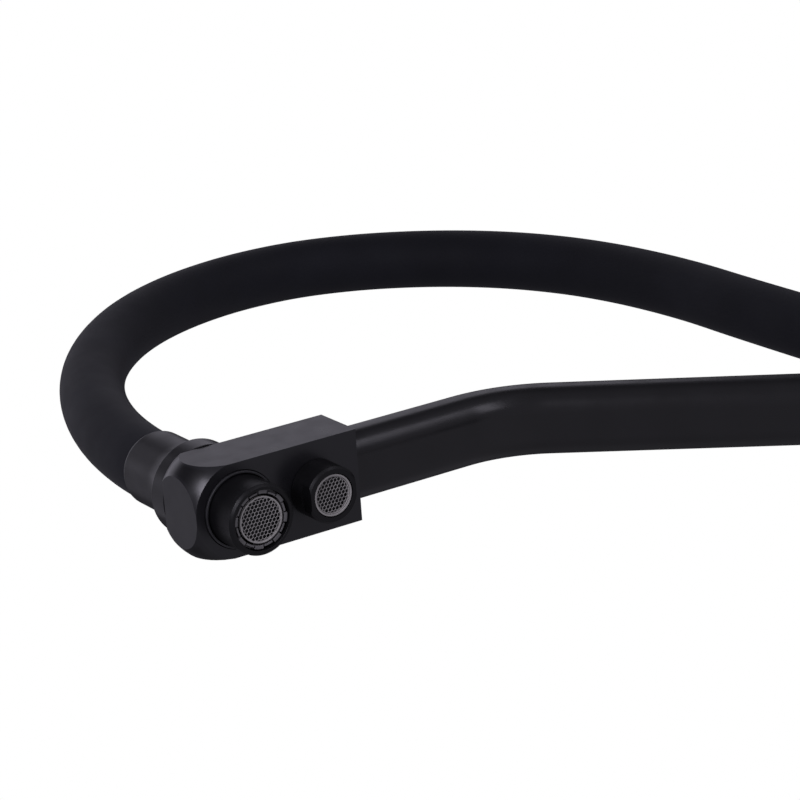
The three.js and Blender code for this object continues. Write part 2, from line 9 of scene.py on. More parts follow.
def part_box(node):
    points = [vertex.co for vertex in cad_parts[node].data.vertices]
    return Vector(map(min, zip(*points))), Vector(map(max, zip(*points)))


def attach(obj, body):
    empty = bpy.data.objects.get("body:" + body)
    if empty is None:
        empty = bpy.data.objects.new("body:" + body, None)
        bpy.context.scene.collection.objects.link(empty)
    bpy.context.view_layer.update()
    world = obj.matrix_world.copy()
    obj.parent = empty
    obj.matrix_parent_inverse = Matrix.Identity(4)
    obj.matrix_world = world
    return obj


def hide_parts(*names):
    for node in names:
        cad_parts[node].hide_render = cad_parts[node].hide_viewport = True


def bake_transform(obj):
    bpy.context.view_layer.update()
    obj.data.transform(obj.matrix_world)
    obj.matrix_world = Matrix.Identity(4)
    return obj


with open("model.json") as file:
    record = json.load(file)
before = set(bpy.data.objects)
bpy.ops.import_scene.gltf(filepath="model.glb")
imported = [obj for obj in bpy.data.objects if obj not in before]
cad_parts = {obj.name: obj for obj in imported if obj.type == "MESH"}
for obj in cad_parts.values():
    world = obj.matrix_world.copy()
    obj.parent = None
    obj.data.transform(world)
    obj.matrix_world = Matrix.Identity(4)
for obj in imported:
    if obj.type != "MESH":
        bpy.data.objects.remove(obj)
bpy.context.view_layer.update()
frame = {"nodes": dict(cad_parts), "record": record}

MM = 0.001
SIDES = 96  # round a large turned piece
FEW_SIDES = 40  # round a small or hidden one
ROUNDING = 0.3  # usual radius of a broken edge
X_AXIS = Vector((1, 0, 0))

# Camera: below the dock, looking up along the arm, with the outlets towards it.
CAMERA_PLACE = Vector((0.30088, -0.66033, -0.44043))
CAMERA_AIM = Vector((0.01955, -0.19532, 0.27693))
CAMERA_UP = Vector((0.94751, 0.22901, 0.22313))
CAMERA_LENS = 117.7
SENSOR_WIDTH = 36

# Hose route: [distance from the nozzle's axis towards the column, height over the outlet face].
HOSE_ROUTE = [
    [0, 46], [0, 65], [3.3, 90], [9.4, 114], [18.2, 137.8], [29.3, 160.2], [42.7, 181], [58.7, 200.1],
    [77.2, 216.8], [98.3, 230], [121.9, 239], [146.3, 242.8], [171.3, 240.7], [194.8, 231.6],
    [215.2, 217.7], [232.8, 200], [246.8, 179.5], [257.1, 156.3], [263.4, 132.2], [266.6, 107.3],
    [267.5, 82.6], [266.6, 57.9], [265.9, 32.5], [265.5, 8], [265.5, -16], [265.5, -41.4],
]
HOSE_RADIUS = 12.4
HOSE_SIDES = 64
STEPS_PER_SPAN = 8

# Arm.
ARM_WIDTH = 25
ARM_DEPTH = 18.4
ARM_CORNER = 8
ARM_WALL = 2.2
ARM_RISE = 12
ARM_BEND_OFFSET = 115.5
ARM_BEND_RADIUS = 49.5
ARM_DROP = math.radians(39.4)
SOCKET_RADIUS = 16

# Dock block.
BARREL_EDGE_RADIUS = 16.9
BARREL_WIDEST_RADIUS = 21
BARREL_WIDEST = 12.2
DOCK_BORE = 13.7
MAGNET_POCKET = 15.3
MAGNET_POCKET_FLOOR = 17.3
SMALL_BORE = 8.2
SMALL_BORE_TOP = 14

# Honeycomb screens.
CELL_PITCH = 1.42
CELL_HOLE = 1.28
WEB = 0.2
LUGS = 8
LUG_RADIUS = 10.1
RING_RADIUS = 9.5
RING_BORE = 8.85
# Inserts behind the screens: black plastic in place of their grey plastic, as painted shade for the
# shadowed holes behind the screens.
PAINTED_SHADE_INSERTS = ("aerator_insert", "small_flow_insert")

# Valves.
VALVE_HEIGHT = 66
PIVOT = 34
HANDLE_TILT = 12

# Fixing.
NUT_ACROSS_FLATS = 46
THREAD_PITCH = 1.5
THREAD_DEPTH = 0.7

# Stage.
FLOOR_HEIGHT = -560
FLOOR_REACH = 9000
WORKTOP = 30
STUDIO_TINT = (0.9, 0.87, 1)
ROOM_BELOW = 0.37  # strength of the room's light on the object, from below
ROOM_SIDE = 0.28
ROOM_ABOVE = 0.075
BACKDROP = 0.66  # brightness of the backdrop near the horizon, as the camera sees it


# --- Places in the frame -----------------------------------------------------------------------------


def span(node):
    low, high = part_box(node)
    return Vector(low) / MM, Vector(high) / MM


def low_of(node):
    return span(node)[0].z


def high_of(node):
    return span(node)[1].z


def radius_of(node):
    low, high = span(node)
    return (high.x - low.x) / 2


def middle_of(node):
    low, high = span(node)
    return (low + high) / 2


DOCK_AXIS = middle_of("nozzle_body").y
OUTLET_FACE = low_of("dock_block")
REACH = -DOCK_AXIS
DOCK = Matrix.Translation((0, DOCK_AXIS, OUTLET_FACE))
SMALL_OUTLET_AXIS = middle_of("small_outlet_housing").y
SMALL_OUTLET = Matrix.Translation((0, SMALL_OUTLET_AXIS, OUTLET_FACE))
COLUMN = Matrix.Identity(4)
MIXER = Matrix.Translation((0, 0, VALVE_HEIGHT)) @ Matrix.Rotation(math.pi / 2, 4, "Y")
FILTER = Matrix.Translation((0, 0, VALVE_HEIGHT)) @ Matrix.Rotation(-math.pi / 2, 4, "Y")


# --- Materials ---------------------------------------------------------------------------------------


def map_range(tree, value, low, high, to_low, to_high):
    """A node that carries the value's range low..high over to to_low..to_high, and stops at its ends."""
    node = tree.nodes.new("ShaderNodeMapRange")
    for socket, number in zip(node.inputs[1:5], (low, high, to_low, to_high)):
        socket.default_value = number
    tree.links.new(value, node.inputs["Value"])
    return node


def shader(name, colours, roughness, metallic=0.0, specular=0.5, grain=(2200, 0.02), mottle=60,
           spread=0.08, lines=0.0, wear=None, sheen=0.0):
    """A surface with grain, mottled colour and roughness, turned lines about Z, and worn edges."""
    material = bpy.data.materials.new(name)
    material.use_nodes = True
    tree = material.node_tree
    nodes = tree.nodes
    links = tree.links
    principled = nodes["Principled BSDF"]
    principled.inputs["Metallic"].default_value = metallic
    principled.inputs["Specular IOR Level"].default_value = specular
    principled.inputs["Sheen Weight"].default_value = sheen
    principled.inputs["Sheen Roughness"].default_value = 0.45
    place = nodes.new("ShaderNodeTexCoord").outputs["Object"]

    def noise(scale, detail=3.0, stretch=None):
        texture = nodes.new("ShaderNodeTexNoise")
        texture.inputs["Scale"].default_value = scale
        texture.inputs["Detail"].default_value = detail
        source = place
        if stretch:
            mapping = nodes.new("ShaderNodeMapping")
            mapping.inputs["Scale"].default_value = stretch
            links.new(place, mapping.inputs["Vector"])
            source = mapping.outputs["Vector"]
        links.new(source, texture.inputs["Vector"])
        return texture.outputs["Fac"]

    def mixed(factor, first, second):
        node = nodes.new("ShaderNodeMix")
        node.data_type = "RGBA"
        links.new(factor, node.inputs["Factor"])
        for socket, colour in ((node.inputs["A"], first), (node.inputs["B"], second)):
            if isinstance(colour, tuple):
                socket.default_value = (*colour, 1)
            else:
                links.new(colour, socket)
        return node.outputs["Result"]

    clouds = noise(mottle, 4.0)
    fine = noise(grain[0], 2.0)
    cloud_share = map_range(tree, clouds, 0.35, 0.65, 0.0, 1.0).outputs["Result"]
    colour = mixed(cloud_share, colours[0], colours[1])
    if wear:
        edges = nodes.new("ShaderNodeNewGeometry").outputs["Pointiness"]
        colour = mixed(map_range(tree, edges, 0.52, 0.6, 0.0, 0.6).outputs["Result"], colour, wear)
    links.new(colour, principled.inputs["Base Color"])
    patches = noise(mottle * 2.3, 5.0)
    rough = map_range(tree, patches, 0.3, 0.7, roughness - spread / 2, roughness + spread / 2)
    links.new(rough.outputs["Result"], principled.inputs["Roughness"])

    height = fine
    if lines:
        add = nodes.new("ShaderNodeMath")
        add.operation = "MULTIPLY_ADD"
        links.new(noise(900, 2.0, (0.02, 0.02, 1.0)), add.inputs[0])
        add.inputs[1].default_value = lines
        links.new(fine, add.inputs[2])
        height = add.outputs["Value"]
    bump = nodes.new("ShaderNodeBump")
    bump.inputs["Strength"].default_value = 0.6
    bump.inputs["Distance"].default_value = grain[1] * MM
    links.new(height, bump.inputs["Height"])
    links.new(bump.outputs["Normal"], principled.inputs["Normal"])
    return material


MATTE_BLACK = shader("matte_black_coat", ((0.0065, 0.0063, 0.0074), (0.0085, 0.0083, 0.0097)), 0.31,
                     grain=(2600, 0.01), wear=(0.018, 0.018, 0.021))
SATIN_BLACK = shader("satin_black_metal", ((0.012, 0.0115, 0.013), (0.016, 0.0155, 0.0175)), 0.38,
                     grain=(2600, 0.01), lines=1.6, wear=(0.04, 0.04, 0.045))
SILICONE = shader("silicone_hose", ((0.0085, 0.009, 0.0125), (0.011, 0.0117, 0.0162)), 0.72,
                  specular=0.22, grain=(1500, 0.02), mottle=35, sheen=0.06)
GREY_PLASTIC = shader("grey_moulded_plastic", ((0.36, 0.35, 0.335), (0.42, 0.41, 0.39)), 0.45,
                      grain=(3200, 0.008), mottle=220)
RING_PLASTIC = shader("ring_moulded_plastic", ((0.15, 0.147, 0.147), (0.18, 0.176, 0.176)), 0.42,
                      grain=(3200, 0.008), mottle=220)
BLACK_PLASTIC = shader("black_moulded_plastic", ((0.0045, 0.0045, 0.0052), (0.006, 0.006, 0.007)), 0.42,
                       specular=0.3, grain=(3000, 0.01), mottle=150)
DARK_PLASTIC = shader("dark_moulded_plastic", ((0.02, 0.02, 0.022), (0.028, 0.028, 0.031)), 0.45,
                      grain=(3200, 0.008), mottle=220)
WHITE_PLASTIC = shader("white_moulded_plastic", ((0.62, 0.62, 0.59), (0.7, 0.7, 0.67)), 0.45,
                       grain=(2800, 0.008), mottle=150)
RUBBER = shader("black_rubber", ((0.012, 0.012, 0.012), (0.02, 0.02, 0.021)), 0.75,
                specular=0.35, grain=(1800, 0.03), mottle=90)
BRASS = shader("machined_brass", ((0.52, 0.36, 0.13), (0.62, 0.44, 0.18)), 0.32, metallic=1.0,
               grain=(2400, 0.006), lines=1.2, mottle=80)
STEEL = shader("zinc_plated_steel", ((0.42, 0.43, 0.44), (0.52, 0.53, 0.54)), 0.34, metallic=1.0,
               grain=(2400, 0.006), lines=0.8, mottle=80)

BY_SLOT = {
    "matte_black": MATTE_BLACK, "satin_black": SATIN_BLACK, "silicone": SILICONE,
    "grey_plastic": GREY_PLASTIC, "white_plastic": WHITE_PLASTIC, "rubber": RUBBER,
    "brass": BRASS, "steel": STEEL,
}


# --- Shapes: each is a list of points in millimetres and a list of faces --------------------------------


def rounded(outline, rounding, closed):
    """The outline with each corner that turns 20 degrees or more replaced by a short curve."""
    points = []
    steps = 4
    for i, corner in enumerate(outline):
        here = Vector(corner)
        if not closed and i in (0, len(outline) - 1):
            points.append(here)
            continue
        back = Vector(outline[i - 1]) - here
        ahead = Vector(outline[(i + 1) % len(outline)]) - here
        if back.angle(-ahead) < math.radians(20):
            points.append(here)
            continue
        reach = min(rounding, 0.45 * back.length, 0.45 * ahead.length)
        start = here + back.normalized() * reach
        end = here + ahead.normalized() * reach
        for step in range(steps + 1):
            t = step / steps
            points.append(start * (1 - t) ** 2 + here * 2 * t * (1 - t) + end * t ** 2)
    return points


def lathe(outline, sides=SIDES, rounding=ROUNDING):
    """An outline of (radius, height) turned about Z. It closes on itself unless it starts on the axis."""
    closed = outline[0][0] > 0
    points, rings = [], []
    for radius, height in rounded(outline, rounding, closed):
        if radius < 1e-6:
            rings.append([len(points)] * sides)
            points.append(Vector((0, 0, height)))
            continue
        rings.append(range(len(points), len(points) + sides))
        for side in range(sides):
            angle = 2 * math.pi * side / sides
            points.append(Vector((radius * math.cos(angle), radius * math.sin(angle), height)))
    return points, ring_faces(rings, closed)


def ring_faces(rings, closed):
    faces = []
    following = rings[1:] + rings[:1] if closed else rings[1:]
    for ring, after in zip(rings, following):
        count = len(ring)
        for k in range(count):
            corners = (ring[k], ring[(k + 1) % count], after[(k + 1) % count], after[k])
            distinct = list(dict.fromkeys(corners))
            if len(distinct) > 2:
                faces.append(distinct)
    return faces


def swept(stations, sections):
    """Sections of (across, up) points carried along (point, direction) stations in the plane X = 0.
    A second section is the bore of the first."""
    points, faces, ends = [], [], []
    for section in sections:
        rings = []
        for place, direction in stations:
            upward = X_AXIS.cross(direction)
            rings.append(range(len(points), len(points) + len(section)))
            points.extend(place + X_AXIS * across + upward * up for across, up in section)
        faces.extend(ring_faces(rings, False))
        ends.append((rings[0], rings[-1]))
    if len(sections) == 1:
        faces.extend(list(ring) for ring in ends[0])
    else:
        for outer, inner in zip(*ends):
            faces.extend(ring_faces([outer, inner], False))
    return points, faces


def moved(shape, matrix):
    return [matrix @ point for point in shape[0]], shape[1]


def joined(*shapes):
    points, faces = [], []
    for shape_points, shape_faces in shapes:
        first = len(points)
        points.extend(shape_points)
        faces.extend([first + k for k in face] for face in shape_faces)
    return points, faces


def cylinder(radius, low, high, sides=FEW_SIDES):
    return lathe([(0, low), (radius, low), (radius, high), (0, high)], sides, rounding=0)


def brick(x, y, z):
    points = [Vector((a, b, c)) for c in z for b in y for a in x]
    faces = [(0, 2, 3, 1), (4, 5, 7, 6), (0, 1, 5, 4), (2, 6, 7, 3), (0, 4, 6, 2), (1, 3, 7, 5)]
    return points, faces


def arc(centre, radius, start, end, steps):
    """Points (radius, height) of an arc round (0, centre), by degrees from the axis."""
    angles = [math.radians(start + (end - start) * step / steps) for step in range(steps + 1)]
    return [(radius * math.sin(angle), centre + radius * math.cos(angle)) for angle in angles]


def circle(radius, sides):
    angles = [2 * math.pi * side / sides for side in range(sides)]
    return [(radius * math.cos(angle), radius * math.sin(angle)) for angle in angles]


def rounded_rectangle(width, depth, corner, steps=10):
    points = []
    for quarter, (x, y) in enumerate(((1, 1), (-1, 1), (-1, -1), (1, -1))):
        for step in range(steps + 1):
            angle = math.pi / 2 * (quarter + step / steps)
            points.append((x * (width / 2 - corner) + corner * math.cos(angle),
                           y * (depth / 2 - corner) + corner * math.sin(angle)))
    return points


# --- Pieces ------------------------------------------------------------------------------------------


def mesh_object(name, shape, place=COLUMN):
    mesh = bpy.data.meshes.new(name)
    points, faces = moved(shape, place)
    mesh.from_pydata([point * MM for point in points], [], faces)
    solid = bmesh.new()
    solid.from_mesh(mesh)
    bmesh.ops.remove_doubles(solid, verts=solid.verts, dist=1e-7)
    bmesh.ops.recalc_face_normals(solid, faces=solid.faces)
    solid.to_mesh(mesh)
    solid.free()
    obj = bpy.data.objects.new(name, mesh)
    bpy.context.scene.collection.objects.link(obj)
    return obj


def bake_modifiers(obj):
    graph = bpy.context.evaluated_depsgraph_get()
    mesh = bpy.data.meshes.new_from_object(obj.evaluated_get(graph), depsgraph=graph)
    obj.modifiers.clear()
    old = obj.data
    obj.data = mesh
    bpy.data.meshes.remove(old)


def combine(obj, shape, operation="DIFFERENCE", place=COLUMN):
    """Cuts a shape out of a piece, or joins one to it."""
    combine_with(obj, mesh_object("tool", shape, place), operation)


def combine_with(obj, other, operation="DIFFERENCE"):
    """Cuts another object out of a piece, or joins it, and removes that object."""
    modifier = obj.modifiers.new("combine", "BOOLEAN")
    modifier.operation = operation
    modifier.solver = "EXACT"
    modifier.object = other
    bake_modifiers(obj)
    mesh = other.data
    bpy.data.objects.remove(other)
    bpy.data.meshes.remove(mesh)


def soften(obj, width=ROUNDING, angle=30, segments=3):
    """Rounds the edges that turn by more than the angle."""
    modifier = obj.modifiers.new("soften", "BEVEL")
    modifier.width = width * MM
    modifier.segments = segments
    modifier.limit_method = "ANGLE"
    modifier.angle_limit = math.radians(angle)
    modifier.use_clamp_overlap = True
    bake_modifiers(obj)


def finish_piece(obj, body, slot, material=None, smooth=40):
    """Shades a piece, gives it its finish, ties it to its body, and hides the CAD node it stands for."""
    obj.data.shade_smooth()
    obj.data.set_sharp_from_angle(angle=math.radians(smooth))
    modifier = obj.modifiers.new("normals", "WEIGHTED_NORMAL")
    modifier.keep_sharp = True
    bake_modifiers(obj)
    obj.data.materials.clear()
    obj.data.materials.append(material or BY_SLOT[slot])
    if body:
        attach(obj, body)
    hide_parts(obj.name.removesuffix("_fine"))


def turned_piece(node, outline, body, slot, place=COLUMN, sides=SIDES, rounding=ROUNDING, material=None):
    obj = mesh_object(node + "_fine", lathe(outline, sides, rounding), place)
    finish_piece(obj, body, slot, material=material)


# --- Camera ------------------------------------------------------------------------------------------


def make_camera():
    data = bpy.data.cameras.new("camera")
    data.lens = CAMERA_LENS
    data.sensor_width = SENSOR_WIDTH
    data.clip_end = 50
    camera = bpy.data.objects.new("camera", data)
    bpy.context.scene.collection.objects.link(camera)
    back = (CAMERA_PLACE - CAMERA_AIM).normalized()
    right = CAMERA_UP.cross(back).normalized()
    upward = back.cross(right)
    turn = Matrix((right, upward, back)).transposed().to_4x4()
    camera.matrix_world = Matrix.Translation(CAMERA_PLACE) @ turn
    bpy.context.scene.camera = camera


# --- Hose --------------------------------------------------------------------------------------------


def smooth_path(knots):
    """Points of a centripetal Catmull-Rom curve through the knots."""
    ends = [knots[0] * 2 - knots[1]] + knots + [knots[-1] * 2 - knots[-2]]
    points = []
    for i in range(len(knots) - 1):
        a, b, c, d = ends[i:i + 4]
        first = math.sqrt((b - a).length)
        second = first + math.sqrt((c - b).length)
        third = second + math.sqrt((d - c).length)
        for step in range(STEPS_PER_SPAN):
            t = first + (second - first) * step / STEPS_PER_SPAN
            ab = a.lerp(b, t / first)
            bc = b.lerp(c, (t - first) / (second - first))
            cd = c.lerp(d, (t - second) / (third - second))
            abc = ab.lerp(bc, t / second)
            bcd = bc.lerp(cd, (t - first) / (third - first))
            points.append(abc.lerp(bcd, (t - first) / (second - first)))
    return points + [knots[-1]]


def stations_of(points):
    """Each point with the curve's direction there."""
    stations = []
    for i, point in enumerate(points):
        before = points[max(0, i - 1)]
        after = points[min(len(points) - 1, i + 1)]
        stations.append((point, (after - before).normalized()))
    return stations


def make_hose():
    knots = [Vector((0, y - REACH, z + OUTLET_FACE)) for y, z in HOSE_ROUTE]
    path = smooth_path(knots)
    shape = swept(stations_of(path), [circle(HOSE_RADIUS, HOSE_SIDES)])
    hose = mesh_object("spray_hose_fine", shape)
    finish_piece(hose, None, "silicone")
    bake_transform(hose)


# --- Dock block and the fixed outlet -----------------------------------------------------------------


def dock_outline(radius, half, front, back):
    """The block's outline at one height: flats, with corners turned to this radius between them."""
    steps = 10
    start = math.acos(half / radius)
    end = math.pi / 2 - math.acos(front / radius)
    angles = [start + (end - start) * step / steps for step in range(steps + 1)]
    corner = [Vector((radius * math.cos(a), -radius * math.sin(a))) for a in angles]
    mirrored = [Vector((-point.x, point.y)) for point in reversed(corner)]
    return [Vector((half, back)), *corner, *mirrored, Vector((-half, back))]


def make_dock_block():
    low, high = span("dock_block")
    half = high.x
    front = DOCK_AXIS - low.y
    back = high.y - DOCK_AXIS
    height = high.z - low.z
    rise = BARREL_WIDEST_RADIUS - BARREL_EDGE_RADIUS
    bulge = (BARREL_WIDEST ** 2 + rise ** 2) / (2 * rise)
    levels = 14
    points, rings = [], []
    for level in range(levels + 1):
        z = height * level / levels
        radius = BARREL_WIDEST_RADIUS - bulge + math.sqrt(bulge ** 2 - (z - BARREL_WIDEST) ** 2)
        outline = dock_outline(radius, half, front, back)
        rings.append(range(len(points), len(points) + len(outline)))
        points.extend(Vector((x, y, z)) for x, y in outline)
    faces = ring_faces(rings, False) + [list(rings[0]), list(rings[-1])]
    block = mesh_object("dock_block_fine", (points, faces), DOCK)
    offset = SMALL_OUTLET_AXIS - DOCK_AXIS
    small_bore = moved(cylinder(SMALL_BORE, -1, SMALL_BORE_TOP, SIDES), Matrix.Translation((0, offset, 0)))
    pocket = cylinder(MAGNET_POCKET, MAGNET_POCKET_FLOOR, height + 1, SIDES)
    combine(block, joined(cylinder(DOCK_BORE, -1, height + 1, SIDES), small_bore), place=DOCK)
    combine(block, pocket, place=DOCK)
    water_way = moved(cylinder(3.6, offset + 4, back + 1),
                      Matrix.Translation((0, 0, ARM_RISE)) @ Matrix.Rotation(-math.pi / 2, 4, "X"))
    combine(block, water_way, place=DOCK)
    soften(block, 0.6, angle=17)
    finish_piece(block, "spout", "matte_black", smooth=30)


def make_dock_rings():
    turned_piece("dock_bushing", [(12.5, -0.8), (13.4, -0.8), (13.4, 17), (12.5, 17)], "spout",
                 "grey_plastic", DOCK, material=DARK_PLASTIC)
    turned_piece("dock_magnet", [(12.7, 17.6), (15, 17.6), (15, 20.2), (12.7, 20.2)],
                 "spout", "steel", DOCK)
    turned_piece("dock_magnet_cover", [(12.7, 20.5), (15, 20.5), (15, 21.3), (12.7, 21.3)], "spout",
                 "grey_plastic", DOCK, material=DARK_PLASTIC)


def honeycomb(radius, low, high):
    """Hexagonal prisms, one for each cell whose middle lies inside the radius."""
    prism = lathe([(0, low), (CELL_HOLE / math.sqrt(3), low), (CELL_HOLE / math.sqrt(3), high), (0, high)],
                  6, rounding=0)
    cells = []
    reach = math.ceil(radius / CELL_PITCH) + 1
    for row in range(-reach, reach + 1):
        for column in range(-reach, reach + 1):
            x = CELL_PITCH * row * math.sqrt(3) / 2
            y = CELL_PITCH * (column + 0.5 * (row % 2))
            if math.hypot(x, y) < radius:
                cells.append(moved(prism, Matrix.Translation((x, y, 0))))
    return joined(*cells)


def make_screen(node, inner, outer, face, depth, body, place):
    """A thin honeycomb web in a raised rim."""
    recess = 0.2
    back = face + recess + WEB
    outline = [(0, face + recess), (inner, face + recess), (inner + 0.05, face), (outer, face),
               (outer, face + depth), (inner - 0.05, face + depth), (inner - 0.05, back), (0, back)]
    screen = mesh_object(node + "_fine", lathe(outline, SIDES, 0.02), place)
    cells = mesh_object("cells", honeycomb(inner + 0.3, face - 1, back + 0.2), place)
    combine(cells, cylinder(inner - 0.1, face - 2, back + 1, SIDES), "INTERSECT", place)
    combine_with(screen, cells)
    finish_piece(screen, body, "grey_plastic")


def make_small_outlet():
    low = low_of("small_outlet_housing") - OUTLET_FACE
    radius = radius_of("small_outlet_housing")
    flat = 8.9
    housing = mesh_object("small_outlet_housing_fine", lathe([
        (7.6, low), (9.2, low), (radius, low + 0.8), (radius, -0.3), (7.9, -0.3), (7.9, 8), (5.5, 8),
        (5.5, -6), (7.6, -6),
    ], SIDES, 0.15), SMALL_OUTLET)
    for near, far in ((flat, 12), (-12, -flat)):
        combine(housing, brick((-12, 12), (near, far), (-12, -6.6)), place=SMALL_OUTLET)
    soften(housing, 0.12, angle=35, segments=2)
    finish_piece(housing, "spout", "matte_black", material=BLACK_PLASTIC)
    turned_piece("small_aerator_cage", [(6.65, -10.75), (6.8, -10.8), (7.3, -10.8), (7.3, -7), (6.65, -7)],
                 "spout", "grey_plastic", SMALL_OUTLET, rounding=0.12)
    make_screen("small_screen", 6.35, 6.5, -10.5, 1.0, "spout", SMALL_OUTLET)


# --- Spray nozzle ------------------------------------------------------------------------------------


def lug_ring():
    """The aerator's rim: a ring with lugs round its outside, for the key that unscrews it."""
    outlines = []
    steps = 12
    lug_steps = steps // 2
    base = [(10.2, -11.6), (10.2, -9.5)]
    slit = [(RING_BORE, -9.5), (RING_BORE, -12.0), (RING_BORE, -12.1), (RING_BORE, -12.2),
            (RING_BORE + 0.06, -12.25), (RING_RADIUS - 0.06, -12.25), (RING_RADIUS, -12.2),
            (RING_RADIUS, -11.7)]
    for lug in range(LUGS):
        for step in range(steps):
            outer = LUG_RADIUS if step < lug_steps else RING_RADIUS
            angle = 2 * math.pi * (lug + step / steps) / LUGS
            crest = [(RING_BORE, -9.5), (RING_BORE, -12.5), (RING_BORE, -12.6), (RING_BORE, -13.05),
                     (RING_BORE + 0.06, -13.12), (outer - 0.06, -13.12), (outer, -13.05), (outer, -11.7)]
            outlines.append((angle, crest + base))
            if step in (lug_steps - 1, steps - 1):
                outlines.append((angle + 0.02, slit + base))
                outlines.append((angle + 0.05, slit + base))
    points, rings = [], []
    for angle, outline in outlines:
        rings.append(range(len(points), len(points) + len(outline)))
        points.extend(Vector((r * math.cos(angle), r * math.sin(angle), z)) for r, z in outline)
    return points, ring_faces(rings, True)


def make_nozzle():
    drop = OUTLET_FACE - low_of("nozzle_body")
    radius = radius_of("nozzle_body")
    turned_piece("nozzle_body", [
        (10.4, -drop), (radius - 0.8, -drop), (radius, 0.9 - drop), (radius, 23.7), (9, 23.7), (9, -9.2),
        (10.4, -9.2),
    ], "nozzle", "matte_black", DOCK, rounding=0.18, material=BLACK_PLASTIC)
    ring = mesh_object("aerator_ring_fine", lug_ring(), DOCK)
    finish_piece(ring, "nozzle", "matte_black", material=RING_PLASTIC, smooth=30)
    make_screen("aerator_screen", 7.55, 8.0, -13.3, 1.1, "nozzle", DOCK)

    collar_low = low_of("nozzle_collar") - OUTLET_FACE
    collar_high = high_of("nozzle_collar") - OUTLET_FACE
    collar_radius = radius_of("nozzle_collar")
    turned_piece("nozzle_collar", [
        (12.6, collar_low), (12.9, collar_low), (12.9, 23.5), (15.8, 23.5), (15.8, collar_low),
        (collar_radius, collar_low), (collar_radius, collar_high - 0.8), (collar_radius - 0.8, collar_high),
        (8.1, collar_high), (8.1, 24), (12.6, 24),
    ], "nozzle", "matte_black", DOCK, rounding=0.25)
    turned_piece("dock_armature_ring", [(13.2, 21.8), (15.4, 21.8), (15.4, 23.2), (13.2, 23.2)], "nozzle",
                 "steel", DOCK)


def ferrule_outline(height):
    """A sleeve that flares towards its lower end."""
    seat = 14.7
    flare = [(13.4 + (1 - step / 6) ** 2, 0.5 + 8.5 * step / 6) for step in range(7)]
    return [(8.1, 0), (14.0, 0), *flare, (13.4, height - 1.2), (12.9, height), (HOSE_RADIUS + 0.3, height),
            (HOSE_RADIUS + 0.3, seat), (8.1, seat)]


def make_ferrules():
    for node, body in (("dock_ferrule", "spray"), ("column_ferrule", "spout")):
        low = span(node)[0]
        height = high_of(node) - low.z
        place = Matrix.Translation((0, middle_of(node).y, low.z))
        turned_piece(node, ferrule_outline(height), body, "satin_black", place, rounding=0.25)
    for node, body in (("dock_hose_tail", "spray"), ("column_hose_tail", "spout")):
        low, high = span(node)
        barbs = [(4.5, low.z), (7.2, low.z)]
        for barb in range(5):
            crest = high.z - 24 + 4.5 * barb
            barbs += [(7.2, crest), (7.7, crest + 0.2), (7.2, crest + 3)]
        outline = barbs + [(7.2, high.z), (4.5, high.z)]
        place = Matrix.Translation((0, middle_of(node).y, 0))
        turned_piece(node, outline, body, "brass", place, FEW_SIDES, 0.15)


# --- Arm ---------------------------------------------------------------------------------------------

BEND_TANGENT = ARM_BEND_RADIUS * math.tan(ARM_DROP / 2)
LEVEL_RUN = ARM_BEND_OFFSET - BEND_TANGENT
BEND_RUN = ARM_BEND_RADIUS * ARM_DROP


def arm_stations(start, end, bend_steps=28):
    """Stations along the arm's centre line between two distances from the nozzle's axis."""
    corner = Vector((0, LEVEL_RUN - REACH, ARM_RISE + OUTLET_FACE))
    bend_end = ARM_BEND_OFFSET + BEND_TANGENT * math.cos(ARM_DROP)
    stations = []
    for distance in (start, (start + LEVEL_RUN) / 2):
        if distance < LEVEL_RUN:
            stations.append((corner + Vector((0, distance - LEVEL_RUN, 0)), Vector((0, 1, 0))))
    for step in range(bend_steps + 1):
        turn = ARM_DROP * step / bend_steps
        if start < LEVEL_RUN:
            offset = Vector((0, math.sin(turn), math.cos(turn) - 1)) * ARM_BEND_RADIUS
            stations.append((corner + offset, Vector((0, math.cos(turn), -math.sin(turn)))))
    slope = Vector((0, math.cos(ARM_DROP), -math.sin(ARM_DROP)))
    foot = corner + Vector((0, math.sin(ARM_DROP), math.cos(ARM_DROP) - 1)) * ARM_BEND_RADIUS
    for distance in (start, (start + end) / 2, end):
        if distance > bend_end:
            stations.append((foot + slope * (distance - bend_end) / math.cos(ARM_DROP), slope))
    return stations


def make_arm():
    start = span("arm_tube")[0].y + REACH
    outer = rounded_rectangle(ARM_WIDTH, ARM_DEPTH, ARM_CORNER)
    bore = rounded_rectangle(ARM_WIDTH - 2 * ARM_WALL, ARM_DEPTH - 2 * ARM_WALL, ARM_CORNER - ARM_WALL)
    arm = mesh_object("arm_tube_fine", swept(arm_stations(start, REACH - 3), [outer, bore]))
    combine(arm, cylinder(SOCKET_RADIUS + 0.3, 100, 260, SIDES))
    soften(arm, 0.3, angle=45, segments=2)
    finish_piece(arm, "spout", "matte_black", smooth=30)

    tube_start = span("filtered_water_tube")[0].y + REACH
    water_tube = mesh_object("filtered_water_tube_fine", swept(
        arm_stations(tube_start, REACH - SOCKET_RADIUS + 1), [circle(3.2, 32), circle(2, 32)]))
    finish_piece(water_tube, "spout", "white_plastic")


# --- Column ------------------------------------------------------------------------------------------


